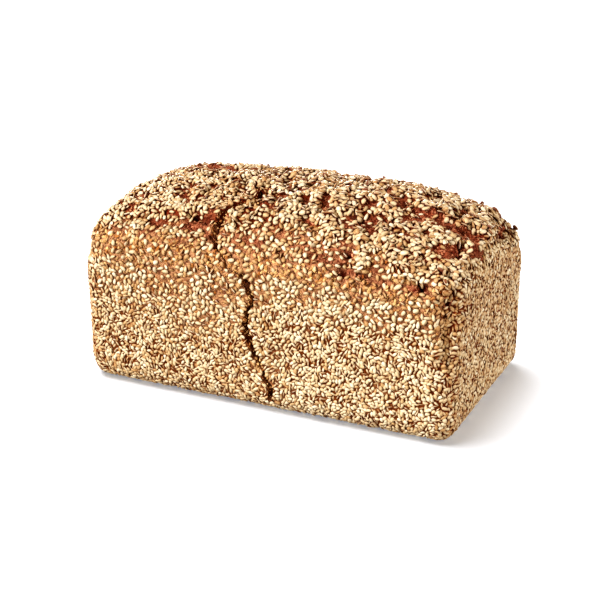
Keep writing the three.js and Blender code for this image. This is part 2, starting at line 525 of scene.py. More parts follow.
@dataclass(frozen=True)
class LoafForm:
    """The form of the bare crust in millimetres, as the solid has it."""

    length: float
    width: float
    rim_height: float = 73.8
    dome_rise: float = 26.1
    corner_radius: float = 9.0
    rim_corner_radius: float = 17.5
    corner_tuck: float = 16.0
    tin_taper: float = 0.01
    base_radius: float = 11.5
    base_trim: float = 0.4
    dome_end_power: float = 3.15
    dome_side_power: float = 1.63
    wall_lumps: float = 0.4
    dome_lumps: float = 1.3
    rim_band: Band = (-5.0, 12.0)
    lid_lift: float = 1.8
    lid_edge_width: float = 4.0
    lid_end_gap: float = 4.0
    lid_front_edge: Route = (
        (-92, -46), (-76, -40), (-40, -38), (0, -40), (21, -34.5), (43, -45), (82, -51),
    )
    lid_back_edge: Route = (
        (-90, 49), (-52, 45), (-14, 47), (20, 43), (58, 48), (90, 47),
    )
    dome_grooves: tuple[Groove, ...] = (
        Groove(((18, 16), (36, 12.5), (56, -4)), 4.5, 2.4),
        Groove(((35, -23), (53, -20), (70, -8), (90, -4)), 5.0, 2.6),
        Groove(((-62, -43), (-40, -43.5), (-29, -46.5)), 5.0, 2.8),
        Groove(((-10, -46), (12, -46), (34, -43)), 4.5, 1.8),
        Groove(((44, -51), (62, -52), (84, -52)), 3.5, 1.6),
        Groove(((95, 25), (93, 37)), 5.0, 3.2),
        Groove(((-70, 14), (-46, 8), (-30, 15)), 5.0, 1.8),
    )
    corner_groove: Groove = Groove(((92, 74), (94.5, 58), (95.5, 40)), 3.0, 1.4)

    @property
    def half(self) -> Place:
        """Half the length and half the width."""
        return self.length / 2, self.width / 2

    @property
    def rim(self) -> float:
        """Height of the tin's rim above the floor."""
        return self.rim_height - self.base_trim

    def corner(self, level: np.ndarray) -> np.ndarray:
        """Radius of the wall's corners in the plan, which grows over the last stretch to the rim."""
        growth = smooth(level, self.rim_height - self.corner_tuck, self.rim_height)
        return self.corner_radius + growth * (self.rim_corner_radius - self.corner_radius)

    def dome_height(self, x: np.ndarray, y: np.ndarray) -> np.ndarray:
        """Height of the unlifted dome over places in the plan.

        Args:
            x: Places along the loaf.
            y: Places across it.

        Returns:
            Heights above the floor.
        """
        end = np.clip(1 - np.abs(x / self.half[0]) ** self.dome_end_power, 0, None)
        side = np.clip(1 - np.abs(y / self.half[1]) ** self.dome_side_power, 0, None)
        return self.rim + self.dome_rise * np.sqrt(end * side)

    def on_dome(self, route: Sequence[Place]) -> Points:
        """Lift a route of (x, y) onto the dome."""
        x, y = np.array(route, float).T
        return np.column_stack((x, y, self.dome_height(x, y)))

    def on_front(self, route: Sequence[Place]) -> Points:
        """Lay a route of (x, z) on the front wall and round its corners.

        Args:
            route: Places along the loaf and above the floor.

        Returns:
            The places on the wall.
        """
        x, z = np.array(route, float).T
        radius = self.corner(z + self.base_trim)
        past = np.clip(np.abs(x) - self.half[0] + radius, 0, radius)
        return np.column_stack((x, radius - self.half[1] - np.sqrt(radius**2 - past**2), z))

    def plain(self, cube: Points) -> Points:
        """Carry points of the skin of the cube from -1 to 1 onto the smooth form.

        Args:
            cube: Shares along, across and up the loaf, one point to a row.

        Returns:
            The points' places on the loaf.
        """
        halves = np.array(self.half)
        flat = np.abs(cube[:, :2]) * halves
        height = (cube[:, 2] + 1) / 2 * self.rim_height
        radius = self.corner(height)[:, None]
        narrowing = 1 - self.tin_taper * (1 - height / self.rim_height)
        outward = np.column_stack((
            np.clip(flat - halves + radius, 0, None) / radius,
            np.clip(1 - height / self.base_radius, 0, None),
        ))
        length = np.linalg.norm(outward, axis=1)
        outward *= (outward.max(axis=1) / np.where(length == 0, 1, length))[:, None]
        plan = np.minimum(flat, halves - radius) + outward[:, :2] * radius
        plan *= narrowing[:, None]
        level = np.maximum(height, self.base_radius) - outward[:, 2] * self.base_radius
        places = np.column_stack((np.sign(cube[:, :2]) * plan, level - self.base_trim))
        top = cube[:, 2] >= 1 - TOUCH
        places[top, 2] = self.dome_height(cube[top, 0] * halves[0], cube[top, 1] * halves[1])
        return places

    def away(self, points: Points) -> Points:
        """Unit directions out of the loaf, from its middle line.

        Args:
            points: Places on the loaf.

        Returns:
            One direction for each point.
        """
        spine_height = 0.6 * self.rim_height
        reach = self.half[0] - spine_height
        spine = np.zeros_like(points)
        spine[:, 0] = np.clip(points[:, 0], -reach, reach)
        spine[:, 2] = spine_height
        return unit(points - spine)

    def lid_depth(self, points: Points, front_edge: Sequence[Place]) -> np.ndarray:
        """How far inside a lid's edge points of the dome lie.

        Args:
            points: Places on the loaf.
            front_edge: The lid's edge by the cracked side, as (x, y).

        Returns:
            Distances, less than 0 outside the lid.
        """
        front = points[:, 1] - np.interp(points[:, 0], *np.array(front_edge, float).T)
        back = np.interp(points[:, 0], *np.array(self.lid_back_edge, float).T) - points[:, 1]
        end = self.half[0] - np.abs(points[:, 0]) - self.lid_end_gap
        return np.minimum(np.minimum(front, back), end)

    def distances(
        self, points: Points, on_dome: Sequence[Groove], on_front: Sequence[Groove] = ()
    ) -> list[tuple[Groove, np.ndarray]]:
        """How far points lie from grooves.

        Args:
            points: Places on the loaf.
            on_dome: Grooves whose routes are (x, y) over the dome.
            on_front: Grooves whose routes are (x, z) on the front wall.

        Returns:
            Each groove with the points' distances from it.
        """
        routes = [(groove, self.on_dome(groove.route)) for groove in on_dome]
        routes += [(groove, self.on_front(groove.route)) for groove in on_front]
        return [(groove, route_distance(points, route)) for groove, route in routes]

    def relief(self, points: Points) -> np.ndarray:
        """How far the crust stands out of the smooth form: lumps and lid, less the grooves.

        Args:
            points: Places on the smooth form.

        Returns:
            Distances along the directions that away gives.
        """
        x, y, z = points.T
        long = np.sin(x / 15 + 1.4 * np.sin(y / 19 + z / 27))
        short = np.sin(x / 8.3 - 0.6) * np.sin((y - z) / 9.1 + 1.1)
        share = smooth(z - self.rim, *self.rim_band)
        lumps = self.wall_lumps + share * (self.dome_lumps - self.wall_lumps)
        out = lumps * (0.6 * long + 0.4 * short)
        lid = smooth(self.lid_depth(points, self.lid_front_edge), 0, self.lid_edge_width)
        out += np.where(z > self.rim, self.lid_lift * lid, 0)
        for groove, distance in self.distances(points, self.dome_grooves, [self.corner_groove]):
            out -= groove.depth * bell(distance, groove.reach)
        return out * smooth(z, 0, self.base_radius)


@dataclass(frozen=True)
class Crack:
    """The oven crack up the front wall and over the dome.

    Its line is (girth, x, half width) in millimetres: girth counts up the wall to the rim and
    then inwards over the plan of the dome.
    """

    line: tuple[tuple[float, float, float], ...] = (
        (2, 6.6, 0.5), (6, 6.2, 1.2), (10.5, 5.6, 1.6), (14.5, 4.4, 1.5), (18.5, 2.7, 1.2),
        (21.5, 1.4, 0.4), (24, 0.2, 0.5), (27, -1.4, 1.6), (31, -3.6, 1.8), (37, -6, 1.6),
        (45.5, -8, 1.4), (52, -6, 1.5), (56, -4.9, 1.1), (59.5, -4, 1.8), (65, -6.8, 2.0),
        (70, -9.2, 1.6), (72.8, -15, 0.6), (74.6, -21.5, 0.5),
        (76, -25.5, 1.5), (78.5, -27.2, 2.3), (83, -28.5, 2.4), (87, -28.5, 2.2), (92, -27.5, 2.0),
        (97, -23, 2.0), (102, -18, 1.0), (107, -15.5, 1.2), (111.5, -17, 2.0), (115, -20.5, 1.7),
        (118.5, -25, 0.5),
    )
    depth: float = 4.2
    lip: float = 0.5
    lip_gap: float = 1.0
    lip_width: float = 1.6
    least_open: float = 0.3
    fringe: float = 1.2
    fade: float = 30.0
    zigzag: float = 0.6

    def column(self, girth: np.ndarray) -> np.ndarray:
        """Where the crack runs, along the loaf, at each girth.

        Args:
            girth: Distances up the wall and over the dome.

        Returns:
            The crack's places along the loaf.
        """
        girths, places, _ = np.array(self.line, float).T
        zigzag = np.sin(girth / 0.9) * np.sin(girth / 2.3 + 1) + 0.6 * np.sin(girth / 1.7)
        return np.interp(girth, girths, places) + self.zigzag * zigzag

    def half_width(self, girth: np.ndarray) -> np.ndarray:
        """Half the crack's width at each girth, 0 past its ends."""
        girths, _, halves = np.array(self.line, float).T
        return np.interp(girth, girths, halves, left=0, right=0)


@dataclass
class Crust:
    """The crust: a gridded cube carried onto the loaf's form, cracked, torn and roughened.

    Lengths are in millimetres. A band is where an ease starts and where it ends.
    """

    form: LoafForm
    crack: Crack = field(default_factory=Crack)
    finish: CrustFinish = field(default_factory=CrustFinish)
    cells: tuple[int, int, int] = (144, 100, 80)
    crack_column: float = -8.0
    crack_bend: float = 62.0
    crack_crowding: float = 3.0
    crack_crowd_width: float = 5.0
    edge_crowding: float = 0.5
    floor_gap: float = 0.45
    wall_rough: float = 0.25
    dome_rough: float = 0.7
    torn_rough: float = 1.0
    sparse_rough: float = 0.5
    sparse_from: Band = (-28.0, -15.0)
    sparse_drift: float = 9.0
    sparse_ease: Band = (-9.0, 7.0)
    crumbly_rise: Band = (-4.5, -1.0)
    crumbly_fall: Band = (8.5, 5.0)
    raggedness: float = 3.0
    back_drift: float = 8.0
    back_side: Band = (0.0, 35.0)
    lid_edge: Band = (-3.0, 3.5)
    lid_foot: Band = (1.0, 5.0)
    end_band: float = 2.0
    front_band: Band = (34.0, 40.0)
    shoulder_band: Band = (3.0, 9.0)
    heap_clumps: Band = (0.45, 0.7)
    crack_detail: float = 2.5
    tear_detail: float = 2.4
    spot_detail: Band = (1.5, 5.0)
    map_gap: float = 2.0
    map_dome_stretch: float = 1.15
    clump_rise: float = 1.2
    bare_clump: Band = (0.16, 0.32)
    broad: float = 6.0
    seeded_edge: Route = (
        (-92, -40), (-77, -41), (-65, -42), (-40, -38), (-20, -42), (-12, -38.7), (3, -36.3),
        (18, -35.6), (30, -37), (53, -39.3), (68, -44.3), (95, -47),
    )
    strewn: float = 0.75
    strewn_band: Band = (-14.0, -2.0)
    tears: tuple[Groove, ...] = (
        Groove(((-46, -37.5), (-40.5, -38), (-35, -40)), 1.5, 2.0, 0.7),
        Groove(((39, -42.5), (42, -45.5), (42.5, -49)), 1.4, 2.0, 0.7),
        Groove(((49, -51), (52, -51.6), (56, -51)), 1.4, 2.0),
        Groove(((78, -49.5), (81.5, -50.5), (84, -52)), 1.5, 2.0, 0.7),
        Groove(((36, -22), (45, -23.6), (52, -22)), 1.5, 1.8, 0.75),
        Groove(((14, 17), (28, 11.5), (38, 13)), 1.5, 1.8),
        Groove(((52, -5.5), (62, -7), (74, -6.5), (85, -2)), 1.5, 2.0),
        Groove(((84, -12), (89, -20), (90.5, -28)), 1.6, 2.0),
        Groove(((-12, -18), (1, -20), (15, -15)), 1.3, 1.4),
        Groove(((-58, 46), (-35, 44.5), (-20, 46)), 1.5, 2.2),
        Groove(((30, 44), (50, 47), (64, 48)), 1.5, 2.2),
        Groove(((-91, -25), (-92, -5), (-91, 18)), 1.5, 2.0),
        Groove(((-66, 14), (-48, 9), (-34, 14)), 1.4, 1.8),
    )
    corner_tear: Groove = Groove(
        ((94, 73), (95.6, 64), (94.8, 57), (96, 50), (95.8, 42)), 5.5, 1.7, 0.42
    )
    bare_patches: tuple[Groove, ...] = (
        Groove(((53, -3), (60, -4), (67, -6)), 7.0),
        Groove(((67, -7), (76, -8.5), (84, -9), (94, -11)), 13.0),
        Groove(((-47, -43), (-38, -42), (-34, -35)), 7.0),
        Groove(((-72, 20), (-58, 14), (-46, 10)), 7.0),
    )
    dome_spots: tuple[Spot, ...] = (
        Spot((42.2, -44.7), 2.6, -3.0),
        Spot((41.8, -52), 2.7, -3.0),
        Spot((82.8, -51), 2.8, -3.4),
        Spot((89.5, -29), 2.2, -2.4),
        Spot((86, -12.5), 2.2, -2.2),
        Spot((90.8, -41.4), 2.0, -2.4),
        Spot((-42, -36.7), 2.4, -2.4),
        Spot((96, 30), 2.6, -1.6),
        Spot((-52, 45.5), 2.4, -2.6),
        Spot((61, 48), 2.4, -2.6),
        Spot((-91, -24), 2.2, -2.2),
        Spot((90.5, -50.5), 3.2, 1.8),
        Spot((97.5, 38), 2.4, 1.2),
        Spot((50, -45.5), 4.0, 1.3),
        Spot((71, -46.5), 4.5, 1.3),
        Spot((89, -47), 3.0, 1.2),
        Spot((-7, 30), 12.0, 1.3),
        Spot((-45, 33), 17.0, -1.1),
        Spot((50, 33), 6.0, 0.9),
        Spot((81, 42), 5.0, 0.9),
    )
    wall_spots: tuple[Spot, ...] = (Spot((94.5, 71), 2.2, -2.2), Spot((31.7, 64.7), 1.0, -1.5))

    def grid(self) -> tuple[bpy.types.Mesh, Points]:
        """Cut a cube into cells along its three axes, and once more where the crust is torn.

        Returns:
            The mesh and its vertices, which are shares from -1 to 1.
        """
        bm = bmesh.new()
        bmesh.ops.create_cube(bm, size=2.0)
        for axis, count in enumerate(self.cells):
            edges = [e for e in bm.edges if abs(e.verts[0].co[axis] - e.verts[1].co[axis]) > 1.0]
            bmesh.ops.subdivide_edges(bm, edges=edges, cuts=count - 1, use_grid_fill=True)
        bm.verts.index_update()
        detailed = self.detailed(np.array([vert.co for vert in bm.verts]))
        edges = [e for e in bm.edges if all(detailed[vert.index] for vert in e.verts)]
        bmesh.ops.subdivide_edges(bm, edges=edges, cuts=1, use_grid_fill=True)
        mesh = bpy.data.meshes.new("crust")
        bm.to_mesh(mesh)
        bm.free()
        return mesh, read(mesh.vertices, "co", float, 3)

    def detailed(self, cube: Points) -> np.ndarray:
        """Which points of the evenly cut cube lie by the crack, a tear or a pit.

        Args:
            cube: Shares of the cube's skin.

        Returns:
            Whether each point does.
        """
        moved = self.spread(cube)
        points = self.form.plain(moved)
        gap, half = self.crack_gap(points, moved)
        near = (half > 0) & (gap < half + self.crack_detail)
        for tear, distance in self.form.distances(points, self.tears, [self.corner_tear]):
            near |= distance < self.tear_detail * tear.reach
        share, most = self.spot_detail
        for spot, distance in self.spot_distances(points):
            near |= distance < min(share * spot.radius, most)
        return near | (self.zones(points)["torn"] > 0.5)

    def spot_distances(self, points: Points) -> list[tuple[Spot, np.ndarray]]:
        """Each mound and pit with the points' distances from its middle.

        Args:
            points: Places on the smooth form.

        Returns:
            The spots with one distance for each point.
        """
        places = [(spot, self.form.on_dome([spot.place])) for spot in self.dome_spots]
        places += [(spot, self.form.on_front([spot.place])) for spot in self.wall_spots]
        return [(spot, np.linalg.norm(points - place, axis=1)) for spot, place in places]

    def crack_gap(self, points: Points, cube: Points) -> tuple[np.ndarray, np.ndarray]:
        """How far points lie from the crack's line, and half the crack's width beside them.

        Args:
            points: Places on the smooth form.
            cube: Their shares of the cube's skin.

        Returns:
            Distances along the loaf, and half widths, 0 away from the crack's side.
        """
        girth = self.girth(cube)
        front = (cube[:, 1] < 0.5) & (cube[:, 2] > -1 + TOUCH) & (np.abs(cube[:, 0]) < 0.9)
        ragged = np.clip(1 + 0.6 * Cloud.CRACK_EDGE.at(points), 0.15, 2)
        half = self.crack.half_width(girth) * ragged * front
        return np.abs(points[:, 0] - self.crack.column(girth)), half

    def lay_flat(self, mesh: bpy.types.Mesh, cube: Points) -> None:
        """Lay the cube's six faces side by side in the map that baking uses.

        Args:
            mesh: The gridded cube.
            cube: Its vertices, from -1 to 1.
        """
        length, width = self.form.length, self.form.width
        wall, dome, gap = self.form.rim_height, self.map_dome_stretch * width, self.map_gap
        sheets = {
            (1, -1): (0, 2, (0.0, 0.0), (length, wall)),
            (1, 1): (0, 2, (0.0, wall + gap), (length, wall)),
            (2, 1): (0, 1, (0.0, 2 * (wall + gap)), (length, dome)),
            (2, -1): (0, 1, (0.0, 2 * (wall + gap) + dome + gap), (length, width)),
            (0, 1): (1, 2, (length + gap, 0.0), (width, wall)),
            (0, -1): (1, 2, (length + gap, wall + gap), (width, wall)),
        }
        whole = 2 * (wall + gap) + dome + gap + width
        corners = read(mesh.loops, "vertex_index", np.int32)
        starts = read(mesh.polygons, "loop_start", np.int32)
        counts = np.diff(np.append(starts, len(corners)))
        places = cube[corners]
        middle = np.repeat(np.add.reduceat(places, starts) / counts[:, None], counts, axis=0)
        axis = np.abs(middle).argmax(axis=1)
        sign = np.sign(np.take_along_axis(middle, axis[:, None], axis=1)[:, 0])
        flat = np.empty((len(corners), 2))
        for (face, side), (first, second, corner, size) in sheets.items():
            chosen = (axis == face) & (sign == side)
            share = (places[chosen][:, [first, second]] + 1) / 2
            flat[chosen] = (np.array(corner) + share * np.array(size)) / whole
        mesh.uv_layers.new(name=BAKE_MAP).data.foreach_set("uv", flat.ravel())

    def girth(self, cube: Points) -> np.ndarray:
        """Measure up the front wall and on over the plan of the dome, or back under the base.

        Args:
            cube: Shares of the cube's skin.

        Returns:
            The girth of each point, less than 0 under the base.
        """
        half_width = self.form.half[1]
        inward = half_width * (cube[:, 1] + 1)
        level = (cube[:, 2] + 1) / 2 * self.form.rim_height - self.form.base_trim
        under = cube[:, 2] <= -1 + TOUCH
        return np.where(under, -inward, level + inward)

    def spread(self, cube: Points) -> Points:
        """Crowd the grid's lines towards the edges and bend its columns along the crack.

        Args:
            cube: Evenly cut shares of the cube's skin.

        Returns:
            The shares moved within their own faces.
        """
        moved = cube.copy()
        for axis in (1, 2):
            eased = np.sin(cube[:, axis] * math.pi / 2)
            moved[:, axis] += self.edge_crowding * (eased - cube[:, axis])
        half = self.form.half[0]
        fine = np.linspace(-half, half, 2001)
        centre = bell(fine - self.crack_column, self.crack_crowd_width)
        ends = smooth(np.abs(fine), half - 2 * self.form.corner_radius, half)
        weight = np.cumsum(1 + self.crack_crowding * centre + ends)
        share = 2 * (weight - weight[0]) / (weight[-1] - weight[0]) - 1
        x = np.interp(cube[:, 0], share, fine)
        girth = self.girth(moved)
        last = self.crack.line[-1][0]
        live = smooth(girth, -self.crack.fade, 0) * (1 - smooth(girth, last, last + self.crack.fade))
        pull = np.clip(1 - ((x - self.crack_column) / self.crack_bend) ** 2, 0, None) ** 2
        x += (self.crack.column(girth) - self.crack_column) * pull * live
        moved[:, 0] = x / half
        return moved

    def raised(self, points: Points) -> np.ndarray:
        """How high the lid's clumps stand at points: less towards the left end."""
        return np.interp(points[:, 0], (-60, -10), (0.4, 1))

    def rips(self, points: Points, ragged: np.ndarray) -> tuple[np.ndarray, np.ndarray]:
        """Where the valleys and bare patches are ripped, and where the corner folds.

        Args:
            points: Places on the smooth form.
            ragged: Noise that frays their edges.

        Returns:
            Shares of ripped crust, and of the fold.
        """
        frayed = 0.7 * np.clip(1 + 0.9 * ragged, 0.2, 2)
        seeded = 1 - np.clip(0.75 + 1.3 * Cloud.BREAKS.at(points), 0.25, 1)
        broken = 1 - smooth(-points[:, 1], *self.front_band) * seeded
        form = self.form
        torn = np.zeros(len(points))
        for valley, distance in form.distances(points, form.dome_grooves):
            torn = np.maximum(torn, bell(distance, valley.reach * frayed) * broken)
        for patch, distance in form.distances(points, self.bare_patches):
            torn = np.maximum(torn, bell(distance, patch.reach * frayed))
        fold = route_distance(points, form.on_front(form.corner_groove.route))
        return torn, bell(fold, form.corner_groove.reach * frayed)

    def zones(self, points: Points) -> dict[str, np.ndarray]:
        """Shares of each kind of crust at points of the smooth form.

        Args:
            points: Places on the smooth form.

        Returns:
            lid, the lifted top; sparse, where few seeds lie; torn, where the crust is ripped; bare,
            where hardly any seeds lie; crumbly, the band of crumbs along the rim; heap, where seeds
            lie on seeds; browned, where seeds are toasted and where the corner's fold is painted with
            shade; clump, from the hollows between the lid's clumps of seeds to their middles; and loose,
            where the tin didn't press the seeds.
        """
        x, y, z = points.T
        height = z - self.form.rim
        half = self.form.half[0]
        ragged, drift = Cloud.RAGGED.at(points), Cloud.DRIFT.at(points)
        fringe = self.raggedness * ragged
        inside = self.form.lid_depth(points, self.seeded_edge) + fringe
        uneven = smooth(y, *self.back_side) * (fringe + self.back_drift * drift)
        lid = smooth(inside + uneven, *self.lid_edge) * smooth(height + uneven, *self.lid_foot)
        ends = smooth(np.abs(x), half - self.form.corner_radius, half - self.end_band)
        line = np.interp(x, (-25, 0), self.sparse_from)
        sparse = smooth(height - line + self.sparse_drift * drift, *self.sparse_ease)
        sparse = sparse * (1 - lid) * (1 - ends)
        level = height + fringe
        crumbly = smooth(level, *self.crumbly_rise) * smooth(level, *self.crumbly_fall)
        crumbly *= (1 - lid) * (1 - ends)
        strewn = self.strewn * smooth(height + 2 * fringe, *self.strewn_band) * (1 - ends)
        clump = smooth(Cloud.CLUMPS.at(points), -0.4, 0.4)
        bare = lid * smooth(clump - np.interp(x, (-40, 0), self.bare_clump), 0, -0.24)
        torn, crease = self.rips(points, ragged)
        raised = self.raised(points)
        heap = raised * lid * smooth(clump, *self.heap_clumps)
        for spot, distance in self.spot_distances(points):
            if spot.radius >= self.broad:
                continue
            near = bell(distance, 1.3 * spot.radius)
            if spot.height < 0:
                torn = np.maximum(torn, near)
            else:
                lid = np.maximum(lid, near)
                heap = np.maximum(heap, near)
        bare = np.maximum(bare, torn)
        heap *= 1 - bare
        shoulder = smooth(height, *self.shoulder_band) * (1 - lid) * (1 - ends)
        torn = np.maximum(torn, shoulder * np.clip(0.5 + 0.5 * ragged, 0, 1))
        torn = np.maximum(torn, 0.8 * bare)
        bare = np.maximum(bare, 0.6 * crease)
        browned = np.maximum(0.25 * shoulder, 0.45 * ends * smooth(height, 3, -3))
        # The corner's fold is painted with shade through darker seeds and crust.
        browned = np.maximum(browned, crease)
        loose = np.maximum(np.maximum(raised * lid, strewn), 0.5 * sparse)
        zones = {"lid": lid, "sparse": sparse, "torn": torn, "heap": heap, "browned": browned}
        return {**zones, "clump": clump, "bare": bare, "crumbly": crumbly, "loose": loose}

    def carve(self, cube: Points) -> tuple[Points, dict[str, np.ndarray]]:
        """Work out the crust's places and its numbers for shading and for the seeds.

        Args:
            cube: Shares of the cube's skin after spread.

        Returns:
            Places in millimetres, and the shares of each kind of crust.
        """
        form, crack = self.form, self.crack
        plain = form.plain(cube)
        zones = self.zones(plain)
        lid, sparse, torn, crumbly = (zones[name] for name in ("lid", "sparse", "torn", "crumbly"))
        out = form.relief(plain)
        rough = self.wall_rough + (self.dome_rough - self.wall_rough) * lid
        rough += (self.sparse_rough - rough) * sparse
        rough += (self.torn_rough - rough) * torn
        out += rough * Cloud.ROUGH.at(plain)
        fine = Cloud.FINE.at(plain)
        out += (0.5 * torn + 0.45 * sparse + 0.7 * crumbly) * fine
        out += self.clump_rise * lid * (self.raised(plain) * (2 * zones["clump"] - 1))
        # Painted shade in the dips of the fine relief on torn, sparse and crumbly crust.
        hollow = (0.3 * np.maximum(1.4 * torn, sparse) + 0.5 * crumbly) * smooth(-fine, 0.1, 0.5)
        frayed = np.clip(0.85 + 1.2 * Cloud.FRAYED.at(plain), 0.05, 1.7)
        for tear, distance in form.distances(plain, self.tears, [self.corner_tear]):
            near = bell(distance, tear.reach * frayed)
            out -= tear.depth * near
            # Each tear is painted with shade as strong as its shade number.
            hollow = np.maximum(hollow, tear.shade * near)
        for spot, distance in self.spot_distances(plain):
            out += spot.height * bell(distance, spot.radius)
            if spot.height < 0 and spot.radius < self.broad:
                # Pits are painted with shade towards their middles.
                hollow = np.maximum(hollow, smooth(distance, 1.1 * spot.radius, 0.3 * spot.radius))
        gap, half = self.crack_gap(plain, cube)
        inside = np.clip(1 - gap / np.maximum(half, 1e-3), 0, 1) * (half > 0.05)
        out -= crack.depth * inside ** 0.7
        lip = bell(gap - half - crack.lip_gap, crack.lip_width) * (half > crack.least_open)
        out += crack.lip * lip * (inside == 0)
        places = plain + form.away(plain) * out[:, None]
        places[:, 2] = np.maximum(places[:, 2], self.floor_gap)
        # The crust is darker where seeds crowd than in the sparse band, as painted shade between them, and
        # red-brown on the lid.
        toast = 0.42 - 0.26 * sparse + 0.45 * lid - 0.08 * crumbly
        # Browned crust is toasted on the shoulder and low at the ends, and painted with shade in the corner's
        # fold.
        toast += 0.45 * zones["browned"] * (1 - sparse)
        toast += 0.12 * Cloud.BAKING.at(plain)
        split = bell(np.clip(gap - half, 0, None), crack.fringe) * (half > crack.least_open)
        # The crack's inside is painted with shade.
        hollow = np.maximum(hollow, 0.8 * inside ** 0.5)
        return places, {"hollow": hollow, "toast": toast, "split": split, **zones}

    def build(self) -> bpy.types.Object:
        """Make the crust and dress it.

        Returns:
            The crust's object.
        """
        mesh, cube = self.grid()
        self.lay_flat(mesh, cube)
        places, numbers = self.carve(self.spread(cube))
        mesh.vertices.foreach_set("co", (places * MM).ravel())
        store(mesh, {name: np.clip(values, 0, 1) for name, values in numbers.items()})
        mesh.shade_smooth()
        mesh.update()
        mesh.materials.append(self.finish.material())
        return in_scene("crust", mesh)


@dataclass
class SeedBed:
    """Places on the crust where seeds may lie, drawn evenly over its area."""

    places: Points
    normals: Points
    numbers: dict[str, np.ndarray]

    @classmethod
    def on(cls, crust: bpy.types.Object, count: int, rng: np.random.Generator) -> "SeedBed":
        """Draw places over a crust.

        Args:
            crust: The crust's object.
            count: How many places to draw.
            rng: The source of chance.

        Returns:
            The bed, in millimetres.
        """
        mesh = crust.data
        mesh.calc_loop_triangles()
        corners = read(mesh.loop_triangles, "vertices", np.int32, 3)
        places = read(mesh.vertices, "co", float, 3) / MM
        normals = read(mesh.vertex_normals, "vector", float, 3)
        a, b, c = (places[corners[:, i]] for i in range(3))
        area = np.linalg.norm(np.cross(b - a, c - a), axis=1)
        chosen = rng.choice(len(area), count, p=area / area.sum())
        first, second = rng.random((2, count))
        flip = first + second > 1
        first[flip], second[flip] = 1 - first[flip], 1 - second[flip]
        weights = np.column_stack((1 - first - second, first, second))

        def mixed(values: np.ndarray) -> np.ndarray:
            """Mix the corners' values at each drawn place."""
            return np.einsum("ij,ij...->i...", weights, values[corners[chosen]])

        layers = [layer for layer in mesh.attributes if layer.data_type == "FLOAT"]
        numbers = {layer.name: mixed(read(layer.data, "value", np.float32)) for layer in layers}
        return cls(mixed(places), unit(mixed(normals)), numbers)

    def kept(self, chosen: np.ndarray) -> "SeedBed":
        """Only the chosen places."""
        numbers = {name: values[chosen] for name, values in self.numbers.items()}
        return SeedBed(self.places[chosen], self.normals[chosen], numbers)

    def thinned(self, spacing: np.ndarray) -> "SeedBed":
        """Keep places in their drawn order, each no nearer than its spacing to those before it.

        Args:
            spacing: The least distance that each place asks for, infinite for none.

        Returns:
            The places kept.
        """
        cell = float(spacing[np.isfinite(spacing)].max())
        boxes: dict[tuple[int, int, int], list[int]] = {}
        keys = np.floor(self.places / cell).astype(int)
        steps = [(i, j, k) for i in (-1, 0, 1) for j in (-1, 0, 1) for k in (-1, 0, 1)]
        places = self.places.tolist()
        chosen: list[int] = []
        for index in np.flatnonzero(np.isfinite(spacing)).tolist():
            x, y, z = places[index]
            i, j, k = keys[index].tolist()
            least = float(spacing[index]) ** 2
            near = (n for di, dj, dk in steps for n in boxes.get((i + di, j + dj, k + dk), ()))
            if all(
                (places[n][0] - x) ** 2 + (places[n][1] - y) ** 2 + (places[n][2] - z) ** 2 >= least
                for n in near
            ):
                boxes.setdefault((i, j, k), []).append(index)
                chosen.append(index)
        return self.kept(np.array(chosen))


@dataclass
class Swarm:
    """Many copies of one small shape, joined into one mesh with its own map for baking."""

    points: Points
    faces: list[list[int]]

    @classmethod
    def of(cls, bm: bmesh.types.BMesh) -> "Swarm":
        """Take the shape from an edit mesh, and free that.

        Args:
            bm: The edit mesh.

        Returns:
            The shape, ready to be copied.
        """
        bm.verts.index_update()
        points = np.array([vert.co for vert in bm.verts])
        faces = [[vert.index for vert in face.verts] for face in bm.faces]
        bm.free()
        return cls(points, faces)

    def atlas(self, count: int) -> np.ndarray:
        """Give each copy its own cell of a square map, its top beside its bottom.

        Args:
            count: How many copies the map holds.

        Returns:
            One place in the map for each corner of each face.
        """
        widest = np.abs(self.points[:, 1]).max()
        inside = []
        for face in self.faces:
            half = 0.25 if self.points[face, 2].mean() > 0 else -0.25
            across = 0.5 + half + 0.22 * self.points[face, 1] / widest
            inside.append(np.column_stack((0.5 + 0.46 * self.points[face, 0], across)))
        rows = math.ceil(math.sqrt(count))
        cells = np.column_stack(np.divmod(np.arange(count), rows))
        return ((cells[:, None] + np.concatenate(inside)[None]) / rows).reshape(-1, 2)

    def joined(
        self,
        name: str,
        copies: Points,
        numbers: dict[str, np.ndarray],
        material: bpy.types.Material,
        rounded: bool = True,
    ) -> bpy.types.Object:
        """Join the copies into one piece.

        Args:
            name: The piece's name.
            copies: The vertices of each copy, in millimetres.
            numbers: What the material reads, one value for each copy or for each vertex of all.
            material: The piece's material.
            rounded: Whether the copies are shaded as round rather than as chipped.

        Returns:
            The piece.
        """
        count, corners = copies.shape[:2]
        sides = np.array([len(face) for face in self.faces])
        ring = np.concatenate([np.array(face) for face in self.faces])
        loops = (ring[None] + corners * np.arange(count)[:, None]).ravel()
        sizes = np.tile(sides, count)
        mesh = bpy.data.meshes.new(name)
        mesh.vertices.add(count * corners)
        mesh.vertices.foreach_set("co", (copies * MM).ravel())
        mesh.loops.add(len(loops))
        mesh.loops.foreach_set("vertex_index", loops)
        mesh.polygons.add(len(sizes))
        mesh.polygons.foreach_set("loop_start", np.concatenate(([0], np.cumsum(sizes)[:-1])))
        whole = count * corners
        store(mesh, {label: np.repeat(values, whole // len(values)) for label, values in numbers.items()})
        mesh.update(calc_edges=True)
        mesh.uv_layers.new(name=BAKE_MAP).data.foreach_set("uv", self.atlas(count).ravel())
        if rounded:
            mesh.shade_smooth()
        else:
            mesh.shade_flat()
        mesh.materials.append(material)
        log.info("%s: %d copies", name, count)
        return in_scene(name, mesh)


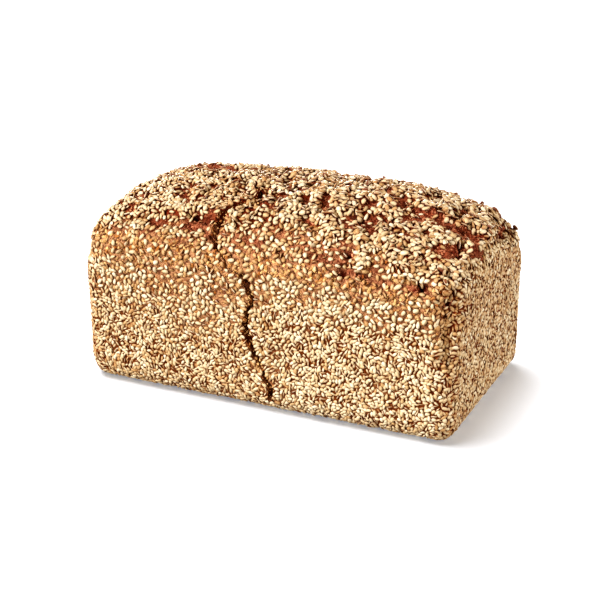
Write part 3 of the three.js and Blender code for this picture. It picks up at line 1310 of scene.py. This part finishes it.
@dataclass
class CrumbCoat:
    """Crumbs and flakes on the upper walls, in the tears and by the crack."""

    finish: CrumbFinish = field(default_factory=CrumbFinish)
    draws: int = 120000
    spacing: float = 1.3
    radius: Band = (0.3, 0.85)
    most_radius: float = 1.0
    torn_trim: float = 0.3
    stretch: float = 2.1
    flatness: float = 0.7
    tilt: float = 0.28
    unevenness: float = 0.35

    def wanted(self, bed: SeedBed, rng: np.random.Generator) -> np.ndarray:
        """Spacing asked for by each place, infinite where no crumb lies.

        Args:
            bed: Where crumbs may lie.
            rng: The source of chance.

        Returns:
            One spacing for each place.
        """
        numbers = bed.numbers
        share = np.maximum(0.6 * numbers["sparse"], np.maximum(numbers["torn"], numbers["crumbly"]))
        share = np.maximum(share, 0.7 * numbers["split"]) * (numbers["hollow"] < 0.85)
        return np.where(rng.random(len(share)) < share, self.spacing, np.inf)

    def build(self, crust: bpy.types.Object) -> bpy.types.Object:
        """Strew the crumbs over a crust.

        Args:
            crust: The crust's object.

        Returns:
            The crumbs' object.
        """
        rng = np.random.default_rng(DRAW_SEED + 1)
        bed = SeedBed.on(crust, self.draws, rng)
        bed = bed.thinned(self.wanted(bed, rng))
        bm = bmesh.new()
        bmesh.ops.create_icosphere(bm, subdivisions=1, radius=1.0)
        swarm = Swarm.of(bm)
        count = len(bed.places)
        torn = bed.numbers["torn"]
        up = unit(bed.normals + self.tilt * rng.standard_normal((count, 3)))
        along = unit(np.cross(up, rng.standard_normal((count, 3))))
        basis = np.stack((along, np.cross(up, along), up), axis=1)
        least, most = self.radius
        coarse = 1 + 1.3 * bed.numbers["crumbly"] + 0.6 * torn
        largest = self.most_radius - self.torn_trim * torn
        radius = np.minimum(least + (most - least) * rng.random(count) ** 2 * coarse, largest)
        stretch = 1 + (self.stretch - 1) * np.maximum(torn, 0.4) * rng.random(count)
        sizes = np.column_stack((radius * stretch, radius / stretch**0.5, self.flatness * radius))
        bumps = 1 + self.unevenness * rng.standard_normal((count, len(swarm.points), 1))
        shapes = swarm.points * np.clip(bumps, 0.5, 1.6)
        copies = bed.places[:, None] + np.einsum("svk,sk,skx->svx", shapes, sizes, basis)
        copies[..., 2] = np.maximum(copies[..., 2], 0.0)
        numbers = {"tint": rng.random(count), "torn": smooth(torn, 0.2, 0.7)}
        return swarm.joined("crumbs", copies, numbers, self.finish.material(), rounded=False)


@dataclass
class SeedCoat:
    """The coat of sesame seeds: pressed in by the tin on the walls, loose and heaped on the lid.

    Lengths are in millimetres and angles in degrees. Seeds tilt along their length, more where they
    are loose and more again on a heap.
    """

    seed_length: float = 3.35
    seed_width: float = 2.2
    seed_thickness: float = 0.98
    unevenness: float = 0.13
    draws: int = 300000
    wall_spacing: float = 1.45
    sparse_spacing: float = 2.2
    gathered: float = 1.3
    crumbly_gap: float = 0.7
    torn_gap: float = 0.35
    base_spacing: float = 2.4
    bare_spacing: float = 4.2
    lid_spacing: Band = (1.85, 2.5)
    heap_spacing: float = 2.7
    buried_share: float = 0.15
    flat_share: float = 0.55
    tilting: tuple[float, float, float] = (5.0, 7.0, 6.0)
    rocking: float = 8.0
    leaning: Band = (25.0, 80.0)
    pressed_size: float = 0.94
    loose_size: float = 0.18
    pressed: float = 0.7
    neighbours: int = 10
    turns: int = 8
    sweeps: int = 4
    moving_share: float = 0.6
    order: tuple[float, float, float] = (100.0, 10.0, 1.0)

    def swarm(self) -> Swarm:
        """Shape one seed: a flat drop, blunt at one end, from -1 to 1 along its length.

        Returns:
            The seed, its points always in the same order.
        """
        bm = bmesh.new()
        bmesh.ops.create_uvsphere(bm, u_segments=6, v_segments=4, radius=1.0)
        bmesh.ops.rotate(bm, verts=bm.verts, matrix=Matrix.Rotation(math.pi / 6, 3, "Z"))
        bmesh.ops.rotate(bm, verts=bm.verts, matrix=Matrix.Rotation(math.pi / 2, 3, "Y"))
        for vert in bm.verts:
            girth = 1 - 0.12 * vert.co.x
            vert.co.x -= 0.14 * (1 - vert.co.x**2)
            vert.co.y *= girth
            vert.co.z *= girth
        bm.verts.sort(key=lambda vert: vert.co.dot(self.order))
        bm.faces.sort(key=lambda face: face.calc_center_median().dot(self.order))
        return Swarm.of(bm)

    def first_layer(self, bed: SeedBed) -> np.ndarray:
        """Spacing asked for by each place of the first layer, infinite where none may lie.

        Args:
            bed: Where seeds may lie.

        Returns:
            One spacing for each place.
        """
        places, numbers = bed.places, bed.numbers
        spacing = self.wall_spacing + numbers["sparse"] * (self.sparse_spacing - self.wall_spacing)
        spacing += self.gathered * numbers["sparse"] * Cloud.GATHERED.at(places)
        spacing += self.crumbly_gap * numbers["crumbly"] + self.torn_gap * numbers["torn"] * numbers["sparse"]
        spacing[places[:, 2] < 1] = self.base_spacing
        dense, loose = self.lid_spacing
        lid = dense + (loose - dense) * smooth(numbers["clump"], 0.6, 0.2)
        lid *= np.interp(places[:, 0], (-60, -15), (0.93, 1))
        spacing += (lid - spacing) * numbers["lid"]
        bare = smooth(numbers["bare"] + 0.25 * Cloud.BARE_EDGE.at(places), 0.5, 0.85)
        spacing += (self.bare_spacing - spacing) * bare
        closed = (numbers["hollow"] > 0.5) | (numbers["split"] > 0.62 - 0.15 * numbers["lid"])
        closed |= (bare > 0.7) & (Cloud.STRAYS.at(places) < 0.3)
        return np.where(closed, np.inf, spacing)

    def heap_layer(self, bed: SeedBed) -> np.ndarray:
        """Spacing asked for by the second layer, which lies in heaps.

        Args:
            bed: Where seeds may lie.

        Returns:
            One spacing for each place, infinite outside the heaps.
        """
        wanted = (bed.numbers["heap"] > 0.5) & (bed.numbers["hollow"] < 0.2)
        wanted &= bed.numbers["split"] < 0.3
        return np.where(wanted, self.heap_spacing, np.inf)

    def turned(self, bed: SeedBed, rng: np.random.Generator) -> tuple[Points, np.ndarray]:
        """Turn each seed so that it lies between its neighbours.

        Args:
            bed: Where the seeds lie.
            rng: The source of chance.

        Returns:
            The seeds' directions, and how much each still overlaps its neighbours.
        """
        count = len(bed.places)
        tree = kdtree.KDTree(count)
        for index, place in enumerate(bed.places):
            tree.insert(place, index)
        tree.balance()
        nearest = self.neighbours + 1
        near = np.array([[n for _, n, _ in tree.find_n(p, nearest)][1:] for p in bed.places])
        helper = np.where(np.abs(bed.normals[:, 2:]) > 0.9, [[1.0, 0, 0]], [[0, 0, 1.0]])
        east = unit(np.cross(helper, bed.normals))
        north = np.cross(bed.normals, east)
        reach = 0.28 * self.seed_length
        girth = 0.8 * self.seed_width
        angle = rng.random(count) * math.tau

        def direction(turn: np.ndarray) -> Points:
            """Unit directions in the crust for turns about its normals."""
            return np.cos(turn)[:, None] * east + np.sin(turn)[:, None] * north

        def crowding(turn: np.ndarray) -> np.ndarray:
            """How much each seed would overlap its neighbours as they lie now.

            Args:
                turn: The turn that each seed tries.

            Returns:
                The overlap of each seed.
            """
            own, others = direction(turn) * reach, direction(angle) * reach
            total = np.zeros(count)
            for mine in (-1, 1):
                tip = bed.places + mine * own
                for theirs in (-1, 1):
                    gap = tip[:, None] - (bed.places[near] + theirs * others[near])
                    total += np.clip(girth - np.linalg.norm(gap, axis=2), 0, None).sum(axis=1)
            return total

        for _ in range(self.sweeps):
            tries = [angle + step * math.pi / self.turns for step in range(self.turns)]
            best = np.argmin([crowding(turn) for turn in tries], axis=0)
            moving = rng.random(count) < self.moving_share
            angle = np.where(moving, angle + best * math.pi / self.turns, angle)
        return direction(angle + math.pi * (rng.random(count) < 0.5)), crowding(angle)

    def kinds(self, bed: SeedBed, rng: np.random.Generator) -> np.ndarray:
        """Draw each seed's kind: toasted where buried or browned, darker in the corner's fold as painted
        shade, and paler low on the right as painted light.

        Args:
            bed: Where the seeds lie.
            rng: The source of chance.

        Returns:
            Each seed's number among the kinds.
        """
        # Browned seeds in the corner's fold are darker as painted shade.
        tone = 0.8 * bed.numbers["buried"] + 0.7 * bed.numbers["browned"]
        tone -= 0.2 * bed.numbers["sparse"] * (1 - bed.numbers["buried"])
        tone += 0.4 * bed.numbers["crumbly"]
        # Painted light: seeds low on the right are drawn paler, where the loaf looks more brightly lit.
        tone -= 0.16 * smooth(bed.places[:, 0], -20, 30) * smooth(bed.places[:, 2], 65, 45)
        tone += 0.3 * rng.standard_normal(len(bed.places))
        return np.searchsorted(np.quantile(tone, (0.2, 0.4, 0.6, 0.8)), tone)

    def laid(self, bed: SeedBed, layer: int, rng: np.random.Generator) -> Points:
        """Lay a seed at each place of a bed.

        Args:
            bed: Where the seeds lie.
            layer: 0 on the crust, 1 on other seeds.
            rng: The source of chance.

        Returns:
            The vertices of each seed, in millimetres.
        """
        count = len(bed.places)
        along, crowded = self.turned(bed, rng)
        loose = bed.numbers["loose"]
        steady, loosened, heaped = self.tilting
        tilt = np.radians(steady + loosened * loose + heaped * layer) * rng.standard_normal(count)
        flat = rng.random(count) < self.flat_share + 0.28 * np.maximum(bed.numbers["sparse"], loose)
        rocked = self.rocking * (1 + loose) * rng.standard_normal(count)
        leant = rng.choice((-1.0, 1.0), count) * rng.uniform(*self.leaning, count)
        leant *= 1 - 0.6 * bed.numbers["bare"]
        roll = np.radians(np.where(flat, rocked, leant))
        normal = bed.normals
        across = np.cross(normal, along)
        along = along * np.cos(tilt)[:, None] + normal * np.sin(tilt)[:, None]
        up = np.cross(along, across)
        across, up = (
            across * np.cos(roll)[:, None] + up * np.sin(roll)[:, None],
            up * np.cos(roll)[:, None] - across * np.sin(roll)[:, None],
        )
        size = np.array([self.seed_length, self.seed_width, self.seed_thickness]) / 2
        sizes = size * (1 + self.unevenness * rng.standard_normal((count, 3)))
        sizes *= self.pressed_size + self.loose_size * loose[:, None]
        stand = np.hypot(sizes[:, 1] * np.sin(roll), sizes[:, 2] * np.cos(roll))
        held = self.pressed - stand + 0.08 * rng.standard_normal(count)
        resting = 0.15 + 0.7 * stand + 0.16 * np.clip(crowded, 0, 2) + 0.75 * layer
        lift = held + (resting - held) * loose - 0.3 * bed.numbers["buried"]
        centre = bed.places + normal * lift[:, None]
        basis = np.stack((along, across, up), axis=1)
        return centre[:, None] + np.einsum("vk,sk,skx->svx", self.swarm().points, sizes, basis)

    def build(self, crust: bpy.types.Object) -> list[bpy.types.Object]:
        """Scatter the seeds over a crust.

        Args:
            crust: The crust's object.

        Returns:
            One object for each kind of seed.
        """
        rng = np.random.default_rng(DRAW_SEED)
        whole = SeedBed.on(crust, self.draws, rng)
        base = whole.thinned(self.first_layer(whole))
        heap = SeedBed.on(crust, self.draws // 4, rng)
        heap = heap.thinned(self.heap_layer(heap))
        for bed in (base, heap):
            chance = self.buried_share * bed.numbers["sparse"]
            bed.numbers["buried"] = (rng.random(len(bed.places)) < chance).astype(float)
        seeds = np.concatenate((self.laid(base, 0, rng), self.laid(heap, 1, rng)))
        seeds[..., 2] = np.maximum(seeds[..., 2], 0.0)
        kinds = np.concatenate((self.kinds(base, rng), self.kinds(heap, rng)))
        # Loose seeds take the deeper painted shade on their sides, partly their toasting.
        baked = np.concatenate((base.numbers["loose"], heap.numbers["loose"]))
        tint = rng.random(len(seeds))
        swarm = self.swarm()
        along = (swarm.points[:, 0] + 1) / 2
        # Painted shade: each seed darkens from its top down its sides to its underside.
        side = 1 - smooth(swarm.points[:, 2], -0.25, 0.85)
        made = []
        for number, kind in enumerate(SeedKind):
            chosen = kinds == number
            count = int(chosen.sum())
            numbers = {"tint": tint[chosen], "baked": baked[chosen]}
            numbers |= {"along": np.tile(along, count), "side": np.tile(side, count)}
            finish = kind.value
            name = f"sesame_{finish.name}"
            made.append(swarm.joined(name, seeds[chosen], numbers, finish.material()))
        return made


@dataclass(frozen=True)
class Lamp:
    """A far, soft light that faces the loaf.

    It hangs so many degrees from the loaf's front towards its right end and so many above the
    floor, spans degrees of the sky, and has a power in watts to a square metre.
    """

    name: str
    turn: float
    rise: float
    softness: float
    power: float
    colour: tuple[float, float, float] = (0.99, 1.0, 1.04)

    def hung(self) -> bpy.types.Object:
        """Hang the light.

        Returns:
            The light's object.
        """
        light = bpy.data.lights.new(self.name, "SUN")
        light.angle = math.radians(self.softness)
        light.energy = self.power
        light.color = self.colour
        lamp = in_scene(self.name, light)
        lamp.rotation_euler = (math.radians(90 - self.rise), 0, math.radians(self.turn))
        return lamp


@dataclass
class Studio:
    """A pale floor, soft lights and a camera at the photograph's angle."""

    azimuth: float = 24.476
    elevation: float = 22.60
    distance: float = 0.81807
    aim: Place = (-0.00261, 0.03853)
    lens: float = 96.0
    sensor: float = 36.0
    floor_size: float = 40.0
    floor_drop: float = 0.0002
    floor_colour: Colour = (0.88, 0.9, 0.93, 1.0)
    floor_roughness: float = 0.6
    floor_glow: Colour = (0.78, 0.94, 1.12, 1.0)
    floor_glow_strength: float = 0.23
    room_colour: Colour = (1.0, 0.76, 0.47, 1.0)
    room_strength: float = 0.25
    loaf_lamps: tuple[Lamp, ...] = (
        Lamp("key", -50.0, 37.0, 14.0, 2.5),
        Lamp("front", -15.0, 15.0, 20.0, 1.5),
        Lamp("fill", 105.0, 12.0, 20.0, 2.1),
        Lamp("back", -150.0, 9.0, 25.0, 1.4),
    )
    floor_lamp: Lamp = Lamp("above", -92.0, 71.0, 40.0, 2.9)

    def floor(self) -> bpy.types.Object:
        """Lay the floor, which bounced light passes through.

        Returns:
            The floor's object.
        """
        bm = bmesh.new()
        bmesh.ops.create_grid(bm, x_segments=1, y_segments=1, size=self.floor_size / 2)
        bmesh.ops.translate(bm, verts=bm.verts, vec=(0, 0, -self.floor_drop))
        mesh = bpy.data.meshes.new("floor")
        bm.to_mesh(mesh)
        bm.free()
        board = Board("pale_floor")
        glow = {"Emission Color": self.floor_glow, "Emission Strength": self.floor_glow_strength}
        mesh.materials.append(board.finish(self.floor_colour, self.floor_roughness, glow))
        piece = in_scene("floor", mesh)
        piece.visible_diffuse = False
        return piece

    def lights(self, floor: bpy.types.Object) -> None:
        """Light the loaf from the upper left and from all round, and the floor from above.

        Args:
            floor: The floor, which only the light above it and the room reach.
        """
        for state, lamps in (("EXCLUDE", self.loaf_lamps), ("INCLUDE", (self.floor_lamp,))):
            linked = bpy.data.collections.new(f"floor_{state.lower()}d")
            linked.objects.link(floor)
            linked.collection_objects[0].light_linking.link_state = state
            for lamp in lamps:
                lamp.hung().light_linking.receiver_collection = linked
        world = bpy.data.worlds.new("soft_room")
        world.use_nodes = True
        background = world.node_tree.nodes["Background"]
        background.inputs["Color"].default_value = self.room_colour
        background.inputs["Strength"].default_value = self.room_strength
        scene = bpy.context.scene
        scene.world = world
        scene.view_settings.view_transform = "Standard"
        scene.view_settings.look = "High Contrast"

    def camera(self) -> None:
        """Put the camera where the photograph was taken from."""
        turn, rise = math.radians(self.azimuth), math.radians(self.elevation)
        right = Vector((math.cos(turn), math.sin(turn), 0))
        flat = math.cos(rise)
        back = Vector((math.sin(turn) * flat, -math.cos(turn) * flat, math.sin(rise)))
        lens = bpy.data.cameras.new("camera")
        lens.lens = self.lens
        lens.sensor_width = self.sensor
        view = in_scene("camera", lens)
        axes = Matrix((right, back.cross(right), back)).transposed()
        place = right * self.aim[0] + Vector((0, 0, self.aim[1])) + back * self.distance
        view.matrix_world = Matrix.Translation(place) @ axes.to_4x4()
        bpy.context.scene.camera = view

    def build(self) -> None:
        """Set up the floor, the lights and the camera."""
        self.lights(self.floor())
        self.camera()


def carry(piece: bpy.types.Object) -> None:
    """Make a piece ride on the loaf's body and stand for its solid.

    Args:
        piece: The piece.
    """
    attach(piece, BODY)
    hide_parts(NODE)
    log.info("%s: %d faces", piece.name, len(piece.data.polygons))


def main() -> None:
    """Build the studio, the crust and its seeds in order."""
    logging.basicConfig(level=logging.INFO, format="%(name)s: %(message)s")
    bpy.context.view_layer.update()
    low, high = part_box(NODE)
    sizes = (high - low) / MM
    form = LoafForm(length=sizes.x - SEED_STAND, width=sizes.y - SEED_STAND)
    Studio().build()
    crust = Crust(form).build()
    carry(crust)
    carry(CrumbCoat().build(crust))
    for seeds in SeedCoat().build(crust):
        carry(seeds)


if __name__ == "__main__":
    main()
